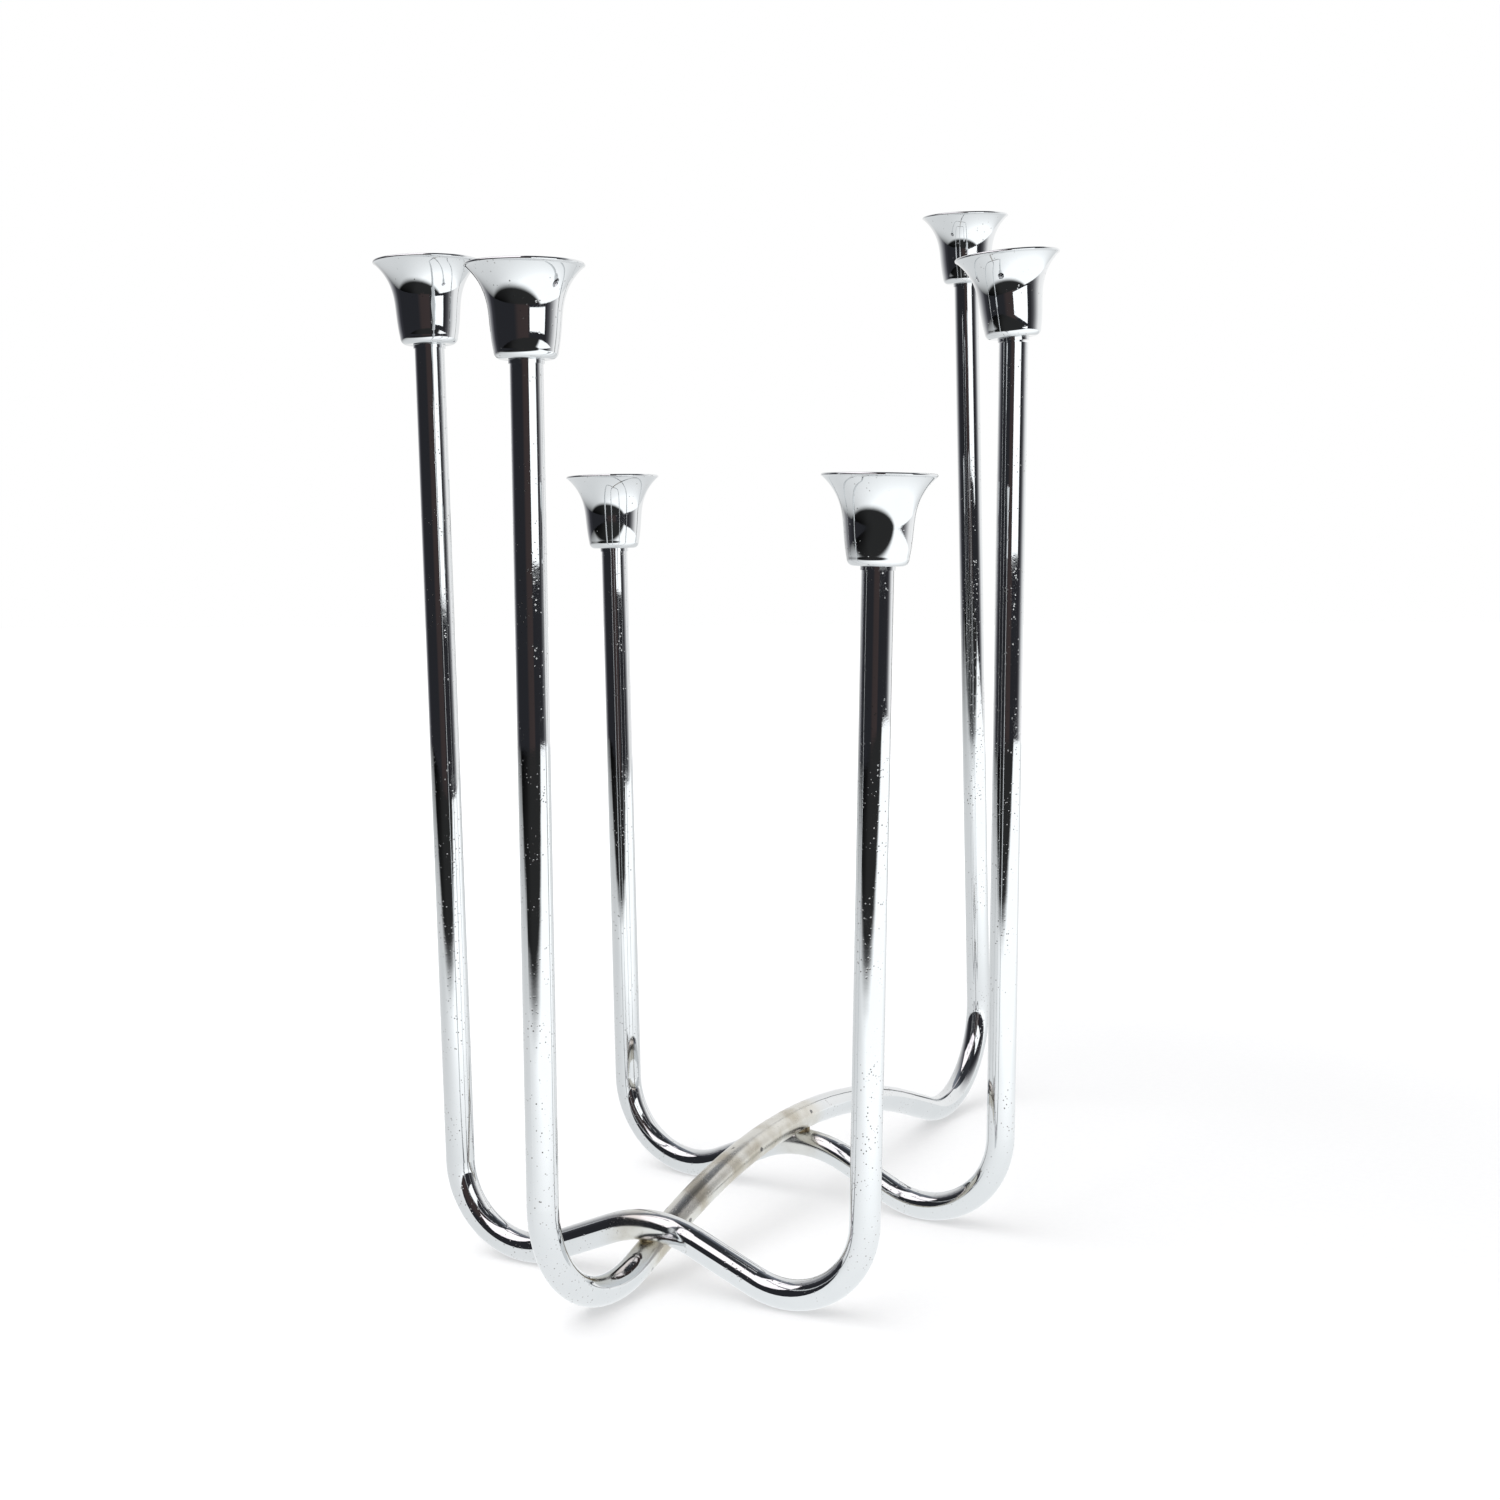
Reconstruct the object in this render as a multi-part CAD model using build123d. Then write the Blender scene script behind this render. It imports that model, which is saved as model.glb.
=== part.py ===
from build123d import *

import os
from dataclasses import dataclass
from math import asin, atan2, cos, hypot, radians, sin, tan

os.makedirs("parts", exist_ok=True)

# Candelabrum of three bent tubes brazed where they cross. Millimetres, +Z up, floor at Z = 0.
# The cross rod runs along +Y from its near arm to its far arm. The front and rear rods run along about +X.

# Tube and brazing
TUBE_OD = 12.7
TUBE_WALL = 1.2
BRAZE_GAP = 0.1
BRAZE_WAIST = 3.6
BRAZE_SPREAD = 1.5

# Cross rod: the front crossing is measured from its near trough, the rear one from the middle of its span
CROSS_SPAN = 410.0
CROSS_BEND = 48.0
CROSS_CROWN_SHARE = 0.96
FRONT_STATION_PAST_TROUGH = 23.7
REAR_STATION_OFFSET = 2.6

# Front and rear rods: their crossings are measured from the middle of their spans
FRONT_SPAN = 196.5
FRONT_BEND = 35.4
FRONT_CROWN_SHARE = 0.67
FRONT_CROSSING_OFFSET = -3.75
FRONT_HEADING = 3.6

REAR_SPAN = 207.0
REAR_BEND = 39.3
REAR_CROWN_SHARE = 0.77
REAR_CROWN_HEIGHT = 26.5
REAR_CROSSING_OFFSET = -1.1
REAR_HEADING = -1.4

# Height of the underside of each cup, and outward lean of its arm in degrees
FRONT_LEFT_SEAT = 398.0
FRONT_RIGHT_SEAT = 304.0
CROSS_NEAR_SEAT = 382.0
CROSS_FAR_SEAT = 450.0
REAR_LEFT_SEAT = 310.5
REAR_RIGHT_SEAT = 400.5
FRONT_LEANS = (1.3, 1.1)
CROSS_LEANS = (0.4, -3.2)
REAR_LEANS = (1.1, 0.5)

# Candle cup, spun from sheet
CUP_HEIGHT = 35.5
CUP_RIM_OD = 45.4
CUP_BASE_OD = 23.6
CUP_WALL = 1.0
CUP_BODY_TAPER = 7.7
CUP_FLARE_ANGLE = 38.0
CUP_FLARE_RADIUS = 18.0
CUP_CORNER_RADIUS = 3.0

# End plug, screw and spring washer
PLUG_FLANGE_OVERHANG = 0.5
PLUG_FLANGE_THICKNESS = 1.6
PLUG_SPIGOT_LENGTH = 5.0
PLUG_SPIGOT_CHAMFER = 1.5
PLUG_CLEARANCE = 0.35
SCREW_DIAMETER = 4.0
SCREW_LENGTH = 8.0
SCREW_HEAD_OD = 7.0
SCREW_HEAD_HEIGHT = 2.6
SCREW_SLOT = 1.1
THREAD_CLEARANCE = 0.05
HOLE_CLEARANCE = 0.2
WASHER_OD = 7.6
WASHER_THICKNESS = 0.9
WASHER_SPLIT = 0.6

# The rear right plug sits crooked in its tube, and its cup leans with it
CROOKED_SEAT = "rear_right"
CROOKED_TILT = 5.4
CROOKED_TOWARDS = 211.0

TUBE_R = TUBE_OD / 2
BORE_R = TUBE_R - TUBE_WALL
FRONT_STATION = CROSS_BEND + FRONT_STATION_PAST_TROUGH
REAR_STATION = CROSS_SPAN / 2 + REAR_STATION_OFFSET
FRONT_CROSSING = FRONT_SPAN / 2 + FRONT_CROSSING_OFFSET
REAR_CROSSING = REAR_SPAN / 2 + REAR_CROSSING_OFFSET
PASSES = 16


@dataclass
class Rod:
    name: str
    start: Vector
    heading: float
    span: float
    bend: float
    crown_share: float
    crown_height: float
    arm_names: tuple
    seat_heights: tuple
    leans: tuple

    @property
    def crown_radius(self):
        """A share of the radius at which the crown bend would run straight into the trough bends."""
        drop = TUBE_R + self.bend - self.crown_height
        run = self.span / 2 - self.bend
        largest = (run**2 + drop**2 - self.bend**2) / (2 * (self.bend - drop))
        return self.crown_share * largest

    @property
    def slope(self):
        """Slope, in radians, of the straight runs between the troughs and the crown."""
        run = self.span / 2 - self.bend
        rise = self.crown_height - self.crown_radius - TUBE_R - self.bend
        return atan2(rise, run) + asin((self.bend + self.crown_radius) / hypot(run, rise))

    @property
    def plane(self):
        """The rod's own upright plane: X along the span, Y up, origin on the floor at the first arm."""
        along = Vector(1, 0, 0).rotate(Axis.Z, self.heading)
        return Plane(origin=self.start, x_dir=along, z_dir=along.cross(Vector(0, 0, 1)))


def tangent_corner(centre, radius, normal_a, normal_b):
    """Where two straight runs, both tangent to one bend, would meet if the bend were a sharp corner."""
    return centre + (normal_a + normal_b) * (radius / (1 + normal_a.dot(normal_b)))


def arm_line(rod, end):
    """Sharp corner under an arm and the top end of its tube, both in the rod's own plane."""
    outward = (-1, 1)[end]
    lean = radians(rod.leans[end])
    centre = Vector((rod.bend, rod.span - rod.bend)[end], TUBE_R + rod.bend)
    arm_normal = Vector(outward * cos(lean), -sin(lean))
    ramp_normal = Vector(-outward * sin(rod.slope), -cos(rod.slope))
    corner = tangent_corner(centre, rod.bend, arm_normal, ramp_normal)
    upward = Vector(outward * sin(lean), cos(lean))
    length = (rod.seat_heights[end] - corner.Y) / cos(lean) - PLUG_FLANGE_THICKNESS
    return corner, corner + upward * length


def rod_path(rod):
    """Centreline: arm, trough, crown, trough, arm."""
    left_corner, left_top = arm_line(rod, 0)
    right_corner, right_top = arm_line(rod, 1)
    crown_centre = Vector(rod.span / 2, rod.crown_height - rod.crown_radius)
    rise_normal = Vector(-sin(rod.slope), cos(rod.slope))
    fall_normal = Vector(sin(rod.slope), cos(rod.slope))
    apex = tangent_corner(crown_centre, rod.crown_radius, rise_normal, fall_normal)
    corners = [left_top, left_corner, apex, right_corner, right_top]
    points = [rod.plane.from_local_coords(corner) for corner in corners]
    return FilletPolyline(*points, radius=[rod.bend, rod.crown_radius, rod.bend]).wire()


def swept_round(rod, radius):
    path = rod_path(rod)
    section = Plane(origin=path @ 0, z_dir=path % 0) * Circle(radius)
    return sweep(section, path=path)


def bent_tube(rod):
    return swept_round(rod, TUBE_R) - swept_round(rod, BORE_R)


def rest_on(lower, upper):
    """Sets the upper rod's crown height so that it rests, one braze gap clear, on the lower rod."""
    for _ in range(PASSES):
        spacing = rod_path(upper).distance_to(rod_path(lower))
        upper.crown_height += TUBE_OD + BRAZE_GAP - spacing


def lay_out():
    """Rear rod first, the cross rod resting on its crown, the front rod resting on the cross rod."""
    cross_start = Vector(0, -CROSS_SPAN / 2)
    rear_along = Vector(1, 0, 0).rotate(Axis.Z, REAR_HEADING)
    front_along = Vector(1, 0, 0).rotate(Axis.Z, FRONT_HEADING)
    rear = Rod(
        "rear",
        cross_start + Vector(0, REAR_STATION) - rear_along * REAR_CROSSING,
        REAR_HEADING,
        REAR_SPAN,
        REAR_BEND,
        REAR_CROWN_SHARE,
        REAR_CROWN_HEIGHT,
        ("left", "right"),
        (REAR_LEFT_SEAT, REAR_RIGHT_SEAT),
        REAR_LEANS,
    )
    cross = Rod(
        "cross",
        cross_start,
        90.0,
        CROSS_SPAN,
        CROSS_BEND,
        CROSS_CROWN_SHARE,
        REAR_CROWN_HEIGHT + 1.5 * TUBE_OD,
        ("near", "far"),
        (CROSS_NEAR_SEAT, CROSS_FAR_SEAT),
        CROSS_LEANS,
    )
    front = Rod(
        "front",
        cross_start + Vector(0, FRONT_STATION) - front_along * FRONT_CROSSING,
        FRONT_HEADING,
        FRONT_SPAN,
        FRONT_BEND,
        FRONT_CROWN_SHARE,
        2.5 * TUBE_OD,
        ("left", "right"),
        (FRONT_LEFT_SEAT, FRONT_RIGHT_SEAT),
        FRONT_LEANS,
    )
    rest_on(rear, cross)
    rest_on(cross, front)
    return rear, cross, front


def braze_fillet(upper, lower):
    """Concave collar of filler metal around the point where two rods touch."""
    upper_point, lower_point = rod_path(upper).closest_points(rod_path(lower))
    middle = (upper_point + lower_point) / 2
    edge = BRAZE_WAIST + BRAZE_SPREAD
    half_height = TUBE_R / 2
    collar = Polyline((edge, half_height), (0, half_height), (0, -half_height), (edge, -half_height))
    hollow = ThreePointArc((edge, -half_height), (BRAZE_WAIST, 0), (edge, half_height))
    blank = revolve(Plane.XZ * make_face(collar + hollow), Axis.Z)
    blank = Plane(origin=middle, z_dir=upper_point - lower_point) * blank
    return blank - swept_round(upper, TUBE_R) - swept_round(lower, TUBE_R)


def candle_cup():
    """Spun cup: flat floor, rounded corner, tapering body and flared lip. Floor's underside at Z = 0."""
    base_r = CUP_BASE_OD / 2
    rim_r = CUP_RIM_OD / 2
    body = tan(radians(CUP_BODY_TAPER))
    flare = tan(radians(CUP_FLARE_ANGLE))
    waist = (rim_r - CUP_HEIGHT * flare - base_r) / (body - flare)
    outside = FilletPolyline(
        (0, 0),
        (base_r, 0),
        (base_r + waist * body, waist),
        (rim_r, CUP_HEIGHT),
        radius=[CUP_CORNER_RADIUS, CUP_FLARE_RADIUS],
    )
    inside_base = base_r + CUP_WALL * (body - 1 / cos(radians(CUP_BODY_TAPER)))
    inside_rim = rim_r - CUP_WALL / cos(radians(CUP_FLARE_ANGLE))
    inside_waist = (inside_rim - CUP_HEIGHT * flare - inside_base + CUP_WALL * body) / (body - flare)
    inside = FilletPolyline(
        (0, CUP_WALL),
        (inside_base, CUP_WALL),
        (inside_base + (inside_waist - CUP_WALL) * body, inside_waist),
        (inside_rim, CUP_HEIGHT),
        radius=[CUP_CORNER_RADIUS - CUP_WALL, CUP_FLARE_RADIUS + CUP_WALL],
    )
    lip = Line((rim_r, CUP_HEIGHT), (inside_rim, CUP_HEIGHT))
    centre = Line((0, 0), (0, CUP_WALL))
    cup = revolve(Plane.XZ * make_face(outside + inside + lip + centre), Axis.Z)
    return cup - Cylinder(SCREW_DIAMETER / 2 + HOLE_CLEARANCE, 4 * CUP_WALL)


def end_plug():
    """Turned plug that closes the tube: flange on the tube's end, chamfered spigot in its bore."""
    flange = Cylinder(TUBE_R + PLUG_FLANGE_OVERHANG, PLUG_FLANGE_THICKNESS, align=(Align.CENTER, Align.CENTER, Align.MIN))
    spigot = Cylinder(BORE_R - PLUG_CLEARANCE, PLUG_SPIGOT_LENGTH, align=(Align.CENTER, Align.CENTER, Align.MAX))
    spigot = chamfer(spigot.edges().group_by(Axis.Z)[0], PLUG_SPIGOT_CHAMFER)
    plug = flange + spigot
    bore = Cylinder(SCREW_DIAMETER / 2 + THREAD_CLEARANCE, 4 * PLUG_SPIGOT_LENGTH)
    return plug - bore


def spring_washer():
    """Split ring under the screw's head. Underside at Z = 0."""
    hole_r = SCREW_DIAMETER / 2 + HOLE_CLEARANCE
    ring = Circle(WASHER_OD / 2) - Circle(hole_r)
    split = Pos(WASHER_OD / 2, 0) * Rectangle(WASHER_OD, WASHER_SPLIT)
    return extrude(ring - split, WASHER_THICKNESS)


def cup_screw():
    """Slotted cheese-head screw. Underside of the head at Z = 0."""
    head = Cylinder(SCREW_HEAD_OD / 2, SCREW_HEAD_HEIGHT, align=(Align.CENTER, Align.CENTER, Align.MIN))
    head = fillet(head.edges().group_by(Axis.Z)[-1], SCREW_HEAD_HEIGHT / 5)
    slot = Pos(0, 0, SCREW_HEAD_HEIGHT) * Box(SCREW_HEAD_OD, SCREW_SLOT, SCREW_HEAD_HEIGHT)
    shank = Cylinder(SCREW_DIAMETER / 2, SCREW_LENGTH, align=(Align.CENTER, Align.CENTER, Align.MAX))
    shank = chamfer(shank.edges().group_by(Axis.Z)[0], SCREW_DIAMETER / 8)
    return head - slot + shank


def seat_plane(rod, end):
    """Top end of an arm's tube, Z along the arm. The crooked one is tilted and lifted off its tube."""
    corner, top = arm_line(rod, end)
    foot = rod.plane.from_local_coords(corner)
    origin = rod.plane.from_local_coords(top)
    axis = (origin - foot).normalized()
    if f"{rod.name}_{rod.arm_names[end]}" != CROOKED_SEAT:
        return Plane(origin=origin, x_dir=rod.plane.z_dir, z_dir=axis)
    tilt_axis = Axis((0, 0, 0), Vector(0, 1, 0).rotate(Axis.Z, CROOKED_TOWARDS))
    tilted = axis.rotate(tilt_axis, CROOKED_TILT)
    lift = axis * (TUBE_R * sin(radians(CROOKED_TILT)))
    return Plane(origin=origin + lift, x_dir=rod.plane.z_dir, z_dir=tilted)


def seat_pieces(plane, name):
    """Plug, cup, washer and screw stacked on one arm."""
    cup_z = PLUG_FLANGE_THICKNESS
    washer_z = cup_z + CUP_WALL
    screw_z = washer_z + WASHER_THICKNESS
    return {
        f"end_plug_{name}": plane * end_plug(),
        f"candle_cup_{name}": plane * Pos(0, 0, cup_z) * candle_cup(),
        f"spring_washer_{name}": plane * Pos(0, 0, washer_z) * spring_washer(),
        f"cup_screw_{name}": plane * Pos(0, 0, screw_z) * cup_screw(),
    }


def build():
    rear, cross, front = lay_out()
    pieces = {
        "braze_front": braze_fillet(front, cross),
        "braze_rear": braze_fillet(cross, rear),
    }
    for rod in (front, cross, rear):
        pieces[f"{rod.name}_rod"] = bent_tube(rod)
        for end, side in enumerate(rod.arm_names):
            pieces.update(seat_pieces(seat_plane(rod, end), f"{rod.name}_{side}"))
    return pieces


def footprint_centre(pieces):
    """Middle of the footprint on the floor, which becomes the origin."""
    box = Compound(list(pieces.values())).bounding_box()
    return Vector(box.center().X, box.center().Y, 0)


pieces = build()
origin = footprint_centre(pieces)
for name, piece in pieces.items():
    export_step(Pos(-origin) * piece, f"parts/{name}.step")
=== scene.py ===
from math import cos, pi, radians, sin, tan

import bpy
from mathutils import Matrix, Vector


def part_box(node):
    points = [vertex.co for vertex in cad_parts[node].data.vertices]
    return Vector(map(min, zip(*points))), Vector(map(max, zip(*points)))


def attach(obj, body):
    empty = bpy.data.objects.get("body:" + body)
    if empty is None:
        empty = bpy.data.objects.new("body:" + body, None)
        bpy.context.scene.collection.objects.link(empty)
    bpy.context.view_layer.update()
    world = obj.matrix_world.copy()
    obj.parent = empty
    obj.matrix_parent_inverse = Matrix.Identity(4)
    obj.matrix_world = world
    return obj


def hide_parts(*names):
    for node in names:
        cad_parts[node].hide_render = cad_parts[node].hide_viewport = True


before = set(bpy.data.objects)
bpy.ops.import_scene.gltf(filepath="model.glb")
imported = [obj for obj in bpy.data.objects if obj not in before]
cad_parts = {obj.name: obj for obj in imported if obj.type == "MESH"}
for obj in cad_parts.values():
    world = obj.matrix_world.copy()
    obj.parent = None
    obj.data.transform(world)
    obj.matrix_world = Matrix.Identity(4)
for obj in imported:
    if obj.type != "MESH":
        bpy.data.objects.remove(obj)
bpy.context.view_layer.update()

# Lengths are in metres and angles in degrees, but the lens and the sensor are in millimetres

# Camera
CAMERA_AT = (0.4734, -0.8273, 0.3141)
CAMERA_TURN = 30.85
CAMERA_DOWN = 5.83
CAMERA_ROLL = -0.25
CAMERA_NEAREST = 0.01
LENS = 49.3
SENSOR = 36.0

# Room as the chrome sees it: the wall's colour by azimuth, where 0 is towards the camera and 90 its right
ROOM_RADIUS = 2.2
ROOM_FOOT = -0.5
ROOM_HEIGHT = 2.7
ROOM_WALL = (
    (-180, (0.97, 0.97, 0.97)),
    (-158, (0.90, 0.90, 0.90)),
    (-142, (0.60, 0.60, 0.61)),
    (-126, (0.26, 0.26, 0.28)),
    (-110, (0.05, 0.05, 0.06)),
    (-94, (0.026, 0.027, 0.032)),
    (-30, (0.026, 0.027, 0.032)),
    (-18, (0.055, 0.042, 0.042)),
    (8, (0.060, 0.045, 0.045)),
    (16, (0.026, 0.027, 0.032)),
    (68, (0.03, 0.03, 0.035)),
    (80, (0.10, 0.10, 0.11)),
    (90, (0.33, 0.33, 0.34)),
    (99, (0.66, 0.66, 0.67)),
    (112, (1.10, 1.10, 1.10)),
    (135, (1.15, 1.15, 1.15)),
    (180, (0.97, 0.97, 0.97)),
)
WALL_STEP = 4

# Ceiling: its levels towards the backdrop and overhead. They change between two shares of the room's radius.
CEILING_TINT = (0.80, 0.86, 1.0)
CEILING_LEVELS = (0.30, 0.05)
CEILING_FADE = (-0.8, -0.1)

# Table: brightest to the front right, dark past its slanting front edge, dim far to the left
TABLE_LIFT = 0.0002
TABLE_LEVELS = (0.90, 1.48)
TABLE_BRIGHT_TOWARDS = 40
TABLE_BRIGHT_FROM = -0.35
TABLE_BRIGHT_TO = 0.36
TABLE_EDGE = 0.80
TABLE_EDGE_SLANT = 0.434
TABLE_EDGE_BLUR = 0.16
TABLE_PAST_EDGE = 0.02
TABLE_DIM_NEAR = 0.45
TABLE_DIM_FAR = 2.6
TABLE_DIM = 0.04

# A lit window to the right and a large lit cloth overhead: how far right and forward it starts and ends
DAYLIGHT = (0.97, 0.99, 1.0)
CLOTH_GLOW = (1.44, 1.60)
WINDOW_SPAN = (9, 56)
WINDOW_HEIGHTS = (0.290, 0.75)
WINDOW_RADIUS = 0.9
OVERHEAD_TINT = (1.0, 0.94, 0.97)
OVERHEAD_RIGHT = (-1.35, -0.15)
OVERHEAD_FRONT = (-0.35, 1.8)
OVERHEAD_HEIGHT = 1.3
OVERHEAD_POWER = 28.0

# Paper floor: its glow near the object and beyond, and where the glow changes
FLOOR_REACH = 6.6
PAPER_TINTS = ((0.43, 0.43, 0.44), (0.46, 0.46, 0.46))
PAPER_GLOW = (0.38, 0.70)
PAPER_GLOW_REACH = (0.30, 1.00)

# Spun cup: rim and floor as on the CAD cup, with a barrelled body that eases into the trumpet flare.
# The tapers are the body's at its waist, what the floor adds to that and what the rim adds.
CUP_HEIGHT = 0.0355
CUP_RIM_RADIUS = 0.0227
CUP_FLOOR_RADIUS = 0.0095
CUP_CORNER = 0.0030
CUP_CORNER_WIDTH = 0.92 * CUP_CORNER
CUP_WALL = 0.0010
CUP_LIP_RADIUS = 0.00075
CUP_HOLE_RADIUS = 0.0022
CUP_WAIST_SHARE = 0.42
CUP_TAPERS = (4.0, 9.0, 44.0)
CUP_FLARE_POWER = 1.6
CUP_BODY_TOP = CUP_HEIGHT - 1.5 * CUP_LIP_RADIUS
CUP_BODY_TOP_RADIUS = CUP_RIM_RADIUS - 0.4 * CUP_LIP_RADIUS
CORNER_STEPS = 9
BODY_STEPS = 48
LIP_STEPS = 8
LIP_FROM = -30
CUP_TURNS = 128

# The Z of a normal below which a face looks down, and the dot product above which two faces look the same way
LOOKS_DOWN = -0.9
LOOKS_ALIKE = 0.9999

# Noise: its scale, detail and roughness
WAVES = (28.0, 2.0, 0.5)
GRAIN = (900.0, 4.0, 0.6)
CLOUDS = (60.0, 5.0, 0.6)
PATCHES = (55.0, 3.0, 0.5)
FILLER_CLOUDS = (420.0, 6.0, 0.65)
STEEL_CLOUDS = (700.0, 5.0, 0.6)
PAPER_GRAIN = (300.0, 3.0, 0.5)
CLOTH_FOLDS = (1.5, 1.0, 0.5)

# The stretch of a noise that goes from one look to the other
SOFT = (0.30, 0.70)
FIRM = (0.35, 0.65)

# Chrome: tints, haze and pits. Heights and depths are in hundredths of a millimetre, and the radii at which
# a spot begins and ends its fade are shares of the spacing between spots.
HUNDREDTH = 0.00001
CHROME_TINTS = ((0.66, 0.68, 0.69), (0.72, 0.73, 0.74))
WAVE_HEIGHT = 14.0
GRAIN_HEIGHT = 0.30
HAZE_CLOUDS = (0.40, 0.75)
HAZE_RANGE = 0.05
PIT_SCALE = 900.0
PIT_RADII = (0.08, 0.38)
PIT_CLOUDS = (0.42, 0.62)
PIT_TINT = (0.20, 0.18, 0.16)
PIT_ROUGHNESS = 0.45
PIT_DEPTH = 4.5

# Tarnish: it reaches this far from the brazing, and is solid for the core's share of that. On the cross rod
# it runs from joint to joint, fades out past them over the fade's share, and ends at its top, below the arms.
TARNISH_REACH = 0.022
TARNISH_CORE = 0.15
TARNISH_FADE = 0.6
TARNISH_TOP = (0.07, 0.08)
STAIN_TINTS = ((0.68, 0.66, 0.60), (0.48, 0.44, 0.36))
STAIN_STRENGTHS = (0.70, 0.95)
STAIN_ROUGHNESS = 0.30
SPECK_TINT = (0.10, 0.07, 0.05)
SPECK_GRAIN = (0.66, 0.72)
SPECK_PATCHES = (0.5, 0.9)
CHIP_TINT = (0.05, 0.04, 0.03)
CHIP_SCALE = 150.0
CHIP_SHARE = 0.24
CHIP_RADII = (0.34, 0.38)
CHIP_RAGGEDNESS = 0.35

FORWARD = Vector((-sin(radians(CAMERA_TURN)), cos(radians(CAMERA_TURN)), 0))
RIGHT = Vector((cos(radians(CAMERA_TURN)), sin(radians(CAMERA_TURN)), 0))
UP = Vector((0, 0, 1))


def centre(node):
    low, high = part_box(node)
    return (low + high) / 2


# ---------------------------------------------------------------- nodes


def fill(tree, socket, value):
    """Links a socket to another node's output, or sets it to a number, vector or colour."""
    if isinstance(value, bpy.types.NodeSocket):
        tree.links.new(value, socket)
    elif socket.type == "RGBA":
        socket.default_value = (*value, 1.0)
    else:
        socket.default_value = value


def add(tree, kind, **inputs):
    """Adds a shader node. Keywords fill its inputs or, where it has no such input, set its settings."""
    node = tree.nodes.new("ShaderNode" + kind)
    for name, value in inputs.items():
        socket = node.inputs.get(name.replace("_", " "))
        if socket is None:
            setattr(node, name, value)
        else:
            fill(tree, socket, value)
    return node


def calculate(tree, operation, a, b, clamp=False):
    node = add(tree, "Math", operation=operation, use_clamp=clamp)
    fill(tree, node.inputs[0], a)
    fill(tree, node.inputs[1], b)
    return node.outputs[0]


def plus(tree, a, b):
    return calculate(tree, "ADD", a, b)


def minus(tree, a, b):
    return calculate(tree, "SUBTRACT", a, b)


def times(tree, a, b):
    return calculate(tree, "MULTIPLY", a, b)


def measure(tree, operation, vector, other=(0.0, 0.0, 0.0)):
    """A vector's length, or its distance from another, or their dot product."""
    node = add(tree, "VectorMath", operation=operation)
    fill(tree, node.inputs[0], vector)
    fill(tree, node.inputs[1], other)
    return node.outputs["Value"]


def along(tree, place, direction):
    return measure(tree, "DOT_PRODUCT", place, direction)


def ramp(tree, value, low, high, to_low=0.0, to_high=1.0):
    """Goes smoothly from to_low to to_high as the value goes from low to high."""
    node = add(tree, "MapRange", Value=value, interpolation_type="SMOOTHSTEP")
    for name, number in zip(("From Min", "From Max", "To Min", "To Max"), (low, high, to_low, to_high)):
        node.inputs[name].default_value = number
    return node.outputs["Result"]


def mix(tree, data_type, socket_type, factor, a, b):
    node = add(tree, "Mix", data_type=data_type, Factor=factor)
    for name, value in (("A", a), ("B", b)):
        socket = next(s for s in node.inputs if s.name == name and s.type == socket_type)
        fill(tree, socket, value)
    return next(s for s in node.outputs if s.type == socket_type)


def mix_colour(tree, factor, a, b):
    return mix(tree, "RGBA", "RGBA", factor, a, b)


def mix_number(tree, factor, a, b):
    return mix(tree, "FLOAT", "VALUE", factor, a, b)


def noise(tree, place, scale, detail, roughness):
    node = add(tree, "TexNoise", Vector=place, Scale=scale, Detail=detail, Roughness=roughness)
    return node.outputs["Fac"]


def spots(tree, place, scale, share, radii, raggedness=None):
    """Scattered spots, 1 inside and 0 outside. The share is how many of the possible ones there are."""
    cells = add(tree, "TexVoronoi", Vector=place, Scale=scale, Randomness=1.0)
    chance = add(tree, "TexWhiteNoise", Vector=cells.outputs["Position"]).outputs["Value"]
    distance = cells.outputs["Distance"]
    if raggedness is not None:
        distance = plus(tree, distance, raggedness)
    chosen = calculate(tree, "GREATER_THAN", chance, 1.0 - share)
    return times(tree, ramp(tree, distance, *radii, 1.0, 0.0), chosen)


def new_material(name):
    material = bpy.data.materials.new(name)
    material.use_nodes = True
    tree = material.node_tree
    tree.nodes.clear()
    output = tree.nodes.new("ShaderNodeOutputMaterial")
    place = tree.nodes.new("ShaderNodeTexCoord").outputs["Object"]
    return material, tree, output, place


# ---------------------------------------------------------------- materials


def metal(tree, output, colour, rough, height, relief, strength=1.0):
    """Metal whose surface stands up by the relief where the height is 1."""
    bump = add(tree, "Bump", Height=height, Strength=strength, Distance=relief)
    normal = bump.outputs["Normal"]
    shader = add(tree, "BsdfPrincipled", Base_Color=colour, Metallic=1.0, Roughness=rough, Normal=normal)
    tree.links.new(shader.outputs[0], output.inputs["Surface"])


def near_points(tree, place, points, reach):
    """1 at the given points, fading to 0 at their reach."""
    nearest = 0.0
    for point in points:
        gap = measure(tree, "DISTANCE", place, point)
        nearness = ramp(tree, gap, TARNISH_CORE * reach, reach, 1.0, 0.0)
        nearest = calculate(tree, "MAXIMUM", nearness, nearest)
    return nearest


def between_points(tree, place, start, end, fade):
    """1 along +Y from start to end, fading to 0 beyond both and above the tarnish's top."""
    parts = add(tree, "SeparateXYZ", Vector=place)
    after = ramp(tree, parts.outputs["Y"], start.y - fade, start.y)
    before = ramp(tree, parts.outputs["Y"], end.y, end.y + fade, 1.0, 0.0)
    low = ramp(tree, parts.outputs["Z"], *TARNISH_TOP, 1.0, 0.0)
    return times(tree, times(tree, after, before), low)


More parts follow.
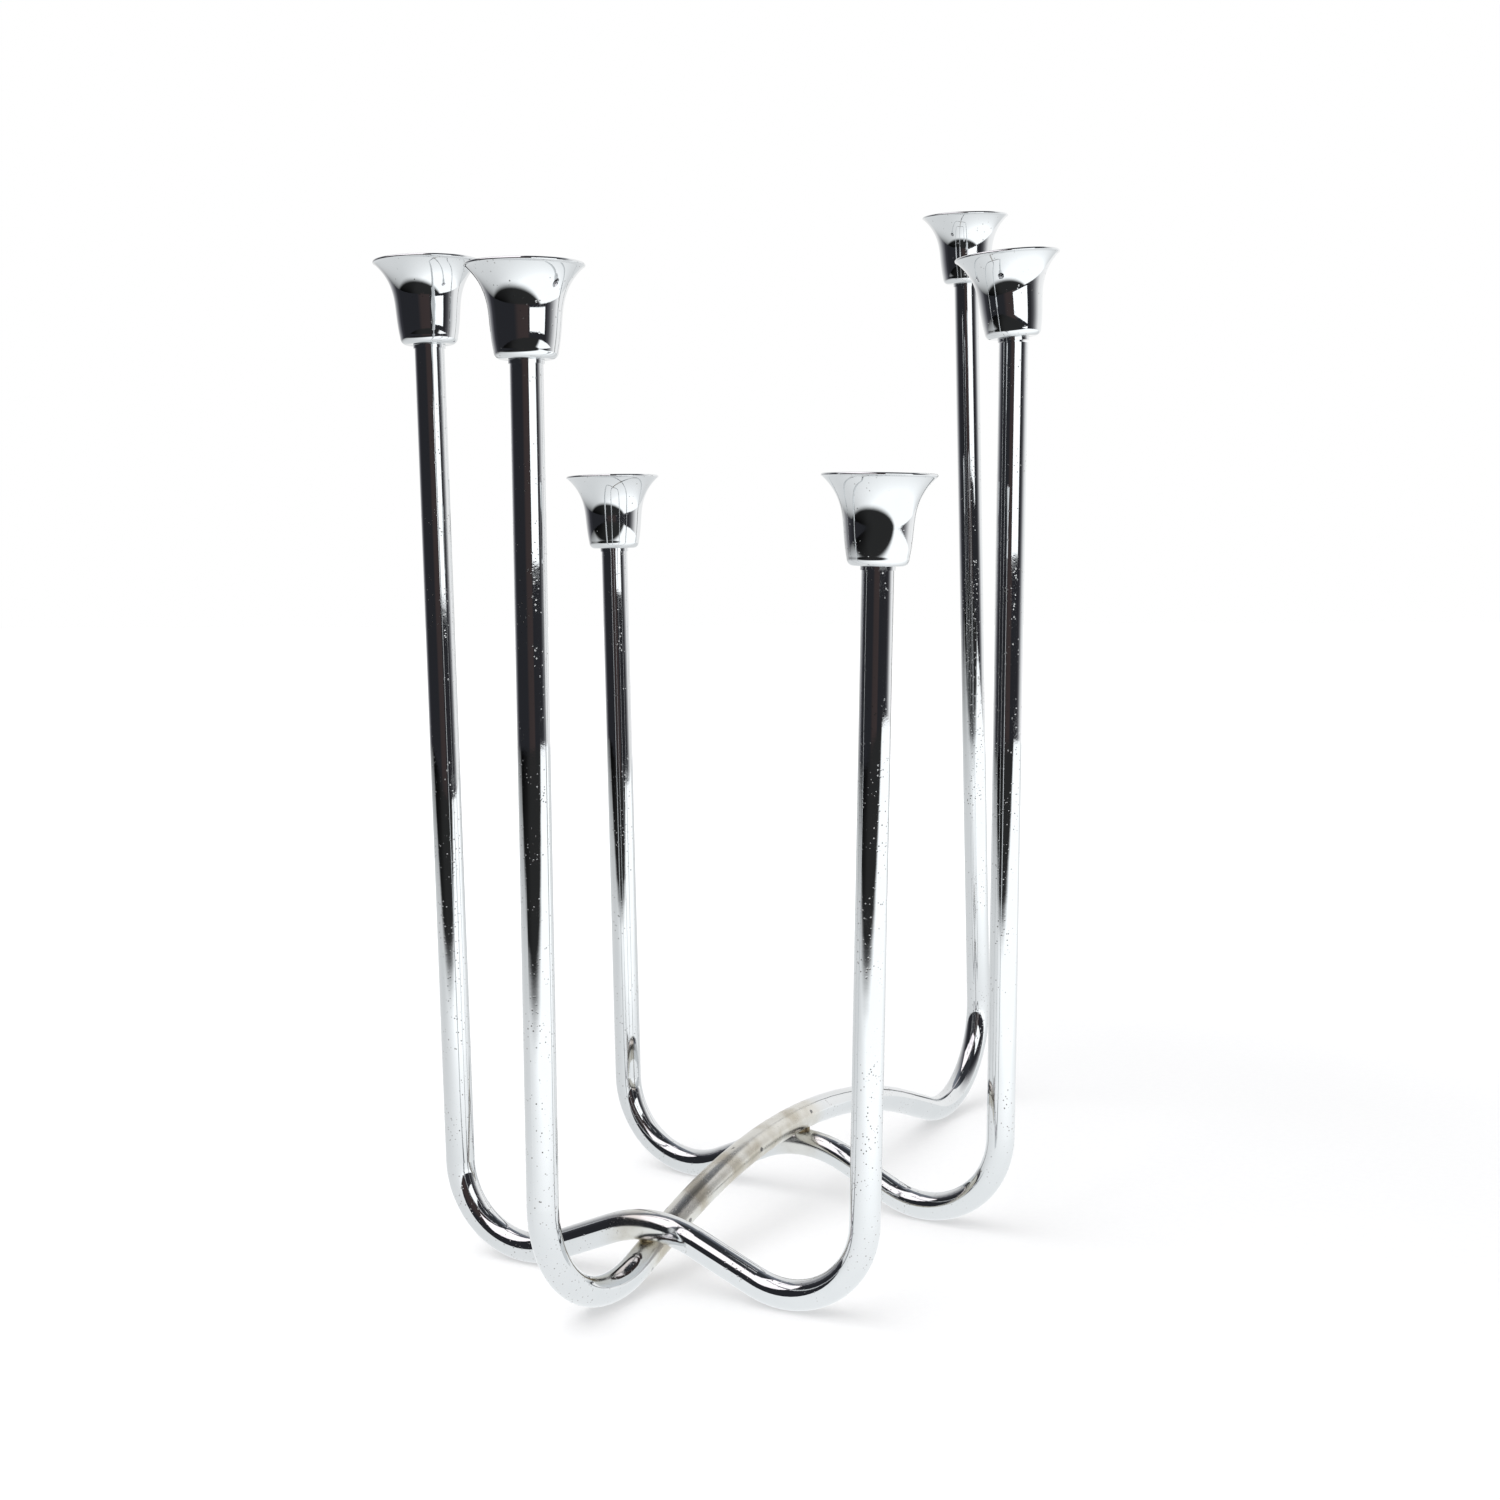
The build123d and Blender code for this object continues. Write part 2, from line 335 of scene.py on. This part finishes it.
def stained(tree, place, grain, mask, colour, rough):
    """The colour and roughness, with patchy stains, specks and dark chips over them where the mask is 1."""
    patches = ramp(tree, noise(tree, place, *PATCHES), *FIRM)
    specks = times(tree, ramp(tree, grain, *SPECK_GRAIN), ramp(tree, patches, *SPECK_PATCHES))
    chips = spots(tree, place, CHIP_SCALE, CHIP_SHARE, CHIP_RADII, times(tree, grain, CHIP_RAGGEDNESS))
    stain = mix_colour(tree, patches, *STAIN_TINTS)
    stain = mix_colour(tree, specks, stain, SPECK_TINT)
    stain = mix_colour(tree, chips, stain, CHIP_TINT)
    strength = times(tree, mask, mix_number(tree, patches, *STAIN_STRENGTHS))
    return mix_colour(tree, strength, colour, stain), mix_number(tree, strength, rough, STAIN_ROUGHNESS)


def chrome(name, pit_share, haze=0.03, wave_height=WAVE_HEIGHT, tarnish=None):
    """Plated and polished metal with slight waves, fine pits and haze, and stains where tarnish is 1."""
    material, tree, output, place = new_material(name)
    grain = noise(tree, place, *GRAIN)
    clouds = noise(tree, place, *CLOUDS)
    pits = times(tree, spots(tree, place, PIT_SCALE, pit_share, PIT_RADII), ramp(tree, clouds, *PIT_CLOUDS))
    colour = mix_colour(tree, pits, mix_colour(tree, clouds, *CHROME_TINTS), PIT_TINT)
    rough = ramp(tree, clouds, *HAZE_CLOUDS, haze, haze + HAZE_RANGE)
    rough = mix_number(tree, pits, rough, PIT_ROUGHNESS)
    if tarnish is not None:
        colour, rough = stained(tree, place, grain, tarnish(tree, place), colour, rough)
    waves = times(tree, noise(tree, place, *WAVES), wave_height)
    height = plus(tree, waves, times(tree, grain, GRAIN_HEIGHT))
    height = minus(tree, height, times(tree, pits, PIT_DEPTH))
    metal(tree, output, colour, rough, height, HUNDREDTH)
    return material


def clouded_metal(name, clouds, tints, roughness, relief, strength):
    """Unpolished metal: its tint, its roughness and its surface all follow the same clouds."""
    material, tree, output, place = new_material(name)
    cloud = noise(tree, place, *clouds)
    colour = mix_colour(tree, ramp(tree, cloud, *FIRM), *tints)
    rough = ramp(tree, cloud, *SOFT, *roughness)
    metal(tree, output, colour, rough, cloud, relief, strength)
    return material


def brazing():
    """Filler metal, plated over and stained."""
    return clouded_metal(
        "plated_brazing",
        FILLER_CLOUDS,
        tints=((0.42, 0.35, 0.22), (0.14, 0.10, 0.06)),
        roughness=(0.28, 0.55),
        relief=0.0002,
        strength=1.0,
    )


def plain_steel():
    """Unplated steel of the screws and washers, lightly blued and dirty."""
    return clouded_metal(
        "plain_steel",
        STEEL_CLOUDS,
        tints=((0.52, 0.51, 0.49), (0.30, 0.28, 0.25)),
        roughness=(0.25, 0.50),
        relief=0.00005,
        strength=0.6,
    )


# ---------------------------------------------------------------- studio


def around(azimuth, radius, height=0.0):
    """A point round the object. Azimuth 0 is towards the camera and 90 is the camera's right."""
    turn = radians(azimuth)
    return (RIGHT * sin(turn) - FORWARD * cos(turn)) * radius + UP * height


def emit(tree, output, colour, level):
    light = add(tree, "Emission", Color=colour, Strength=level)
    tree.links.new(light.outputs[0], output.inputs["Surface"])


def paper_floor():
    """White paper that glows more away from the object, so that shadows show only under it."""
    material, tree, output, place = new_material("paper_floor")
    colour = mix_colour(tree, noise(tree, place, *PAPER_GRAIN), *PAPER_TINTS)
    white = add(tree, "BsdfDiffuse", Color=colour)
    glow = ramp(tree, measure(tree, "LENGTH", place), *PAPER_GLOW_REACH, *PAPER_GLOW)
    light = add(tree, "Emission", Color=(1.0, 1.0, 1.0), Strength=glow)
    both = add(tree, "AddShader")
    tree.links.new(light.outputs[0], both.inputs[0])
    tree.links.new(white.outputs[0], both.inputs[1])
    tree.links.new(both.outputs[0], output.inputs["Surface"])
    return material


def table_seen_in_chrome():
    material, tree, output, place = new_material("table_reflection")
    side = along(tree, place, RIGHT)
    front = along(tree, place, -FORWARD)
    past_edge = minus(tree, front, times(tree, side, TABLE_EDGE_SLANT))
    edge = (TABLE_EDGE - TABLE_EDGE_BLUR, TABLE_EDGE + TABLE_EDGE_BLUR)
    on_table = ramp(tree, past_edge, *edge, 1.0, TABLE_PAST_EDGE)
    lit = ramp(tree, side, -TABLE_DIM_FAR, -TABLE_DIM_NEAR, TABLE_DIM, 1.0)
    towards = along(tree, place, around(TABLE_BRIGHT_TOWARDS, 1.0))
    start = minus(tree, towards, TABLE_BRIGHT_FROM)
    share = calculate(tree, "DIVIDE", start, TABLE_BRIGHT_TO - TABLE_BRIGHT_FROM, clamp=True)
    level = mix_number(tree, times(tree, share, share), *TABLE_LEVELS)
    emit(tree, output, DAYLIGHT, times(tree, level, times(tree, on_table, lit)))
    return material


def ceiling_seen_in_chrome():
    """Navy dark overhead, paler towards the backdrop."""
    material, tree, output, place = new_material("ceiling_reflection")
    front = along(tree, place, -FORWARD)
    fade = [share * ROOM_RADIUS for share in CEILING_FADE]
    emit(tree, output, CEILING_TINT, ramp(tree, front, *fade, *CEILING_LEVELS))
    return material


def room_seen_in_chrome():
    """The studio's walls: a dark room in front, a white backdrop behind, with the levels set by azimuth."""
    material, tree, output, place = new_material("room_reflection")
    side = along(tree, place, RIGHT)
    front = along(tree, place, -FORWARD)
    azimuth = calculate(tree, "DIVIDE", calculate(tree, "ARCTAN2", side, front), radians(360.0))
    stops = add(tree, "ValToRGB", Fac=plus(tree, azimuth, 0.5))
    band = stops.color_ramp.elements
    band[0].position = 0.0
    band[0].color = (*ROOM_WALL[0][1], 1.0)
    band[1].position = 1.0
    band[1].color = (*ROOM_WALL[-1][1], 1.0)
    for angle, colour in ROOM_WALL[1:-1]:
        band.new(0.5 + angle / 360.0).color = (*colour, 1.0)
    emit(tree, output, stops.outputs["Color"], 1.0)
    return material


def softbox(name, colour):
    """A lit cloth, a little uneven."""
    material, tree, output, place = new_material(name)
    folds = noise(tree, place, *CLOTH_FOLDS)
    emit(tree, output, colour, ramp(tree, folds, *SOFT, *CLOTH_GLOW))
    return material


def mesh_object(name, points, faces, material):
    mesh = bpy.data.meshes.new(name)
    mesh.from_pydata(points, [], faces)
    mesh.update()
    mesh.materials.append(material)
    piece = bpy.data.objects.new(name, mesh)
    bpy.context.scene.collection.objects.link(piece)
    return piece


def only_in_reflections(piece):
    piece.visible_camera = False
    piece.visible_diffuse = False
    piece.visible_shadow = False
    piece.visible_transmission = False
    piece.visible_volume_scatter = False


def wall(name, span, heights, radius, material):
    """An upright strip round the object, between two azimuths and two heights."""
    start, end = span
    steps = int((end - start) / WALL_STEP)
    azimuths = [start + (end - start) * step / steps for step in range(steps + 1)]
    points = [around(azimuth, radius, height) for azimuth in azimuths for height in heights]
    faces = [(2 * i, 2 * i + 2, 2 * i + 3, 2 * i + 1) for i in range(steps)]
    piece = mesh_object(name, points, faces, material)
    only_in_reflections(piece)


def sheet(name, right, front, height, material):
    """A level rectangle that reaches from right[0] to right[1] and from front[0] to front[1]."""
    corners = ((0, 1), (1, 1), (1, 0), (0, 0))
    points = [RIGHT * right[i] - FORWARD * front[j] + UP * height for i, j in corners]
    piece = mesh_object(name, points, [(0, 1, 2, 3)], material)
    return piece


def overhead_lamp():
    data = bpy.data.lights.new("overhead", "AREA")
    data.shape = "RECTANGLE"
    data.size = OVERHEAD_RIGHT[1] - OVERHEAD_RIGHT[0]
    data.size_y = OVERHEAD_FRONT[1] - OVERHEAD_FRONT[0]
    data.energy = OVERHEAD_POWER
    lamp = bpy.data.objects.new("overhead", data)
    middle = RIGHT * sum(OVERHEAD_RIGHT) / 2 - FORWARD * sum(OVERHEAD_FRONT) / 2
    lamp.location = middle + UP * OVERHEAD_HEIGHT
    lamp.rotation_euler.z = radians(CAMERA_TURN)
    lamp.visible_camera = False
    lamp.visible_glossy = False
    bpy.context.scene.collection.objects.link(lamp)


def build_studio():
    world = bpy.data.worlds.new("studio")
    bpy.context.scene.world = world
    world.use_nodes = True
    background = world.node_tree.nodes["Background"]
    background.inputs["Color"].default_value = (1.0, 1.0, 1.0, 1.0)
    background.inputs["Strength"].default_value = 1.0

    beyond = (-FLOOR_REACH, FLOOR_REACH)
    floor = sheet("floor", beyond, beyond, 0.0, paper_floor())
    floor.visible_glossy = False
    wall("room", (-180, 180), (ROOM_FOOT, ROOM_HEIGHT), ROOM_RADIUS, room_seen_in_chrome())
    wall("window", WINDOW_SPAN, WINDOW_HEIGHTS, WINDOW_RADIUS, softbox("window_cloth", DAYLIGHT))
    everywhere = (-ROOM_RADIUS, ROOM_RADIUS)
    only_in_reflections(sheet("table", everywhere, everywhere, TABLE_LIFT, table_seen_in_chrome()))
    only_in_reflections(sheet("ceiling", everywhere, everywhere, ROOM_HEIGHT, ceiling_seen_in_chrome()))
    cloth = softbox("overhead_cloth", OVERHEAD_TINT)
    only_in_reflections(sheet("overhead_box", OVERHEAD_RIGHT, OVERHEAD_FRONT, OVERHEAD_HEIGHT, cloth))
    overhead_lamp()


def build_camera():
    down = radians(CAMERA_DOWN)
    look = FORWARD * cos(down) - UP * sin(down)
    above = FORWARD * sin(down) + UP * cos(down)
    roll = radians(CAMERA_ROLL)
    x_axis = RIGHT * cos(roll) + above * sin(roll)
    y_axis = above * cos(roll) - RIGHT * sin(roll)
    data = bpy.data.cameras.new("camera")
    data.sensor_width = SENSOR
    data.lens = LENS
    data.clip_start = CAMERA_NEAREST
    camera = bpy.data.objects.new("camera", data)
    rotation = Matrix((x_axis, y_axis, -look)).transposed().to_4x4()
    camera.matrix_world = Matrix.Translation(CAMERA_AT) @ rotation
    bpy.context.scene.collection.objects.link(camera)
    bpy.context.scene.camera = camera


# ---------------------------------------------------------------- object


def cup_taper(share):
    """The body's angle from upright, at a share of the cup's height."""
    waist, towards_floor, towards_rim = CUP_TAPERS
    if share < CUP_WAIST_SHARE:
        return waist + towards_floor * (1 - share / CUP_WAIST_SHARE) ** 2
    return waist + towards_rim * ((share - CUP_WAIST_SHARE) / (1 - CUP_WAIST_SHARE)) ** CUP_FLARE_POWER


def cup_outside():
    """Outline from the floor's edge to the lip, as radius and height."""
    corner_end = CUP_FLOOR_RADIUS + CUP_CORNER_WIDTH
    points = []
    for step in range(CORNER_STEPS):
        turn = radians(90 * step / CORNER_STEPS)
        points.append((CUP_FLOOR_RADIUS + CUP_CORNER_WIDTH * sin(turn), CUP_CORNER * (1 - cos(turn))))
    rise = (CUP_BODY_TOP - CUP_CORNER) / BODY_STEPS
    spread = [0.0]
    for step in range(BODY_STEPS):
        height = CUP_CORNER + rise * (step + 0.5)
        spread.append(spread[-1] + rise * tan(radians(cup_taper(height / CUP_HEIGHT))))
    reach = CUP_BODY_TOP_RADIUS - corner_end
    for step in range(BODY_STEPS + 1):
        points.append((corner_end + reach * spread[step] / spread[-1], CUP_CORNER + rise * step))
    return points


def cup_outline():
    """Closed ring of the cup's section, round the screw hole, up the outside, over the lip and back."""
    outside = cup_outside()
    inside = []
    for before, point, after in zip(outside, outside[1:], outside[2:]):
        across = Vector((after[0] - before[0], after[1] - before[1])).normalized()
        inside.append((point[0] - across.y * CUP_WALL, point[1] + across.x * CUP_WALL))
    lip = []
    for step in range(LIP_STEPS + 1):
        turn = radians(LIP_FROM + 180 * step / LIP_STEPS)
        radius = CUP_RIM_RADIUS + CUP_LIP_RADIUS * (cos(turn) - 1)
        lip.append((radius, CUP_HEIGHT + CUP_LIP_RADIUS * (sin(turn) - 1)))
    hole = [(CUP_HOLE_RADIUS, CUP_WALL), (CUP_HOLE_RADIUS, 0.0)]
    return [*outside, *lip, *reversed(inside), *hole]


def spun(name, outline, material):
    """A closed outline turned round the Z axis."""
    points = []
    for k in range(CUP_TURNS):
        turn = 2 * pi * k / CUP_TURNS
        points += [(radius * cos(turn), radius * sin(turn), height) for radius, height in outline]
    count = len(outline)
    faces = []
    for k in range(CUP_TURNS):
        here = k * count
        there = (k + 1) % CUP_TURNS * count
        for i in range(count):
            j = (i + 1) % count
            faces.append((here + i, there + i, there + j, here + j))
    piece = mesh_object(name, points, faces, material)
    piece.data.shade_smooth()
    return piece


def seat_of(node):
    """The middle of a cup's underside and the cup's axis, read from the flat of its floor."""
    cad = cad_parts[node]
    downward = [face for face in cad.data.polygons if face.normal.z < LOOKS_DOWN]
    flat = max(downward, key=lambda face: face.area).normal.copy()
    floor = [face for face in downward if face.normal.dot(flat) > LOOKS_ALIKE]
    area = sum(face.area for face in floor)
    middle = sum((face.center * face.area for face in floor), Vector()) / area
    return cad.matrix_world @ middle, -(cad.matrix_world.to_3x3() @ flat).normalized()


def spin_cups(cup_chrome):
    outline = cup_outline()
    for node in [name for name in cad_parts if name.startswith("candle_cup")]:
        cup = spun(node.replace("candle_cup", "spun_cup"), outline, cup_chrome)
        middle, axis = seat_of(node)
        cup.data.transform(Matrix.Translation(middle) @ axis.to_track_quat("Z", "Y").to_matrix().to_4x4())
        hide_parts(node)
        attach(cup, "root")


def dress_nodes(cup_chrome):
    front_joint = centre("braze_front")
    rear_joint = centre("braze_rear")

    def at_joints(tree, place):
        return near_points(tree, place, (front_joint, rear_joint), TARNISH_REACH)

    def along_cross(tree, place):
        return between_points(tree, place, front_joint, rear_joint, TARNISH_FADE * TARNISH_REACH)

    tube = chrome("tube_chrome_stained", pit_share=0.24, tarnish=at_joints)
    steel = plain_steel()
    finishes = {
        "cross_rod": chrome("tube_chrome_tarnished", pit_share=0.27, tarnish=along_cross),
        "front_rod": tube,
        "rear_rod": tube,
        "braze": brazing(),
        "candle_cup": cup_chrome,
        "end_plug": chrome("plug_chrome", pit_share=0.15, haze=0.06),
        "spring_washer": steel,
        "cup_screw": steel,
    }
    for node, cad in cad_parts.items():
        finish = next(finishes[start] for start in finishes if node.startswith(start))
        cad.data.materials.clear()
        cad.data.materials.append(finish)


cup_finish = chrome("cup_chrome", pit_share=0.075, haze=0.025, wave_height=0.6 * WAVE_HEIGHT)
build_studio()
build_camera()
dress_nodes(cup_finish)
spin_cups(cup_finish)
bpy.context.scene.view_settings.view_transform = "Standard"
